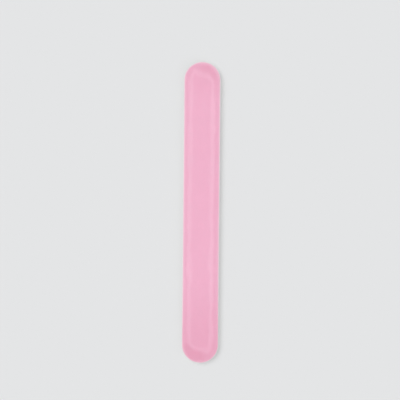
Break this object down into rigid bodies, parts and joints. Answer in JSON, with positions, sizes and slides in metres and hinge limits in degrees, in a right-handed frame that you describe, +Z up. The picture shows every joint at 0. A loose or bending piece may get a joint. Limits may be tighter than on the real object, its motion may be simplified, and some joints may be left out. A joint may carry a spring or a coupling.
{
  "type": "emery board",
  "caption": "Straight cushioned nail board with rounded ends: a stiff core between foam cushions, with coarse grit paper on one face and fine grit paper on the other.",
  "frame": {"origin": "centre of the underside, on the plane that the board rests on", "axes": "+Y along the board's length, +X across its width, +Z up, out of the coarse face"},
  "size_m": [0.0214, 0.178, 0.004],
  "materials": {
    "coarse_grit": "pink 120 grit abrasive grain in resin, matte",
    "fine_grit": "pink 320 grit abrasive grain in resin, matte",
    "backing_paper": "white kraft paper, cut edge",
    "foam": "white closed-cell EVA foam, die-cut",
    "core_plastic": "white high-impact polystyrene sheet, sheared edge",
    "adhesive": "clear acrylic transfer adhesive, seen only as a line at the edge"
  },
  "bodies": {
    "root": {"fine_grit_coat": "fine_grit", "fine_backing_paper": "backing_paper", "face_adhesive_lower": "adhesive", "foam_cushion_lower": "foam", "core_adhesive_lower": "adhesive", "core_plate": "core_plastic", "core_adhesive_upper": "adhesive", "foam_cushion_upper": "foam", "face_adhesive_upper": "adhesive", "coarse_backing_paper": "backing_paper", "coarse_grit_coat": "coarse_grit"}
  },
  "joints": []
}
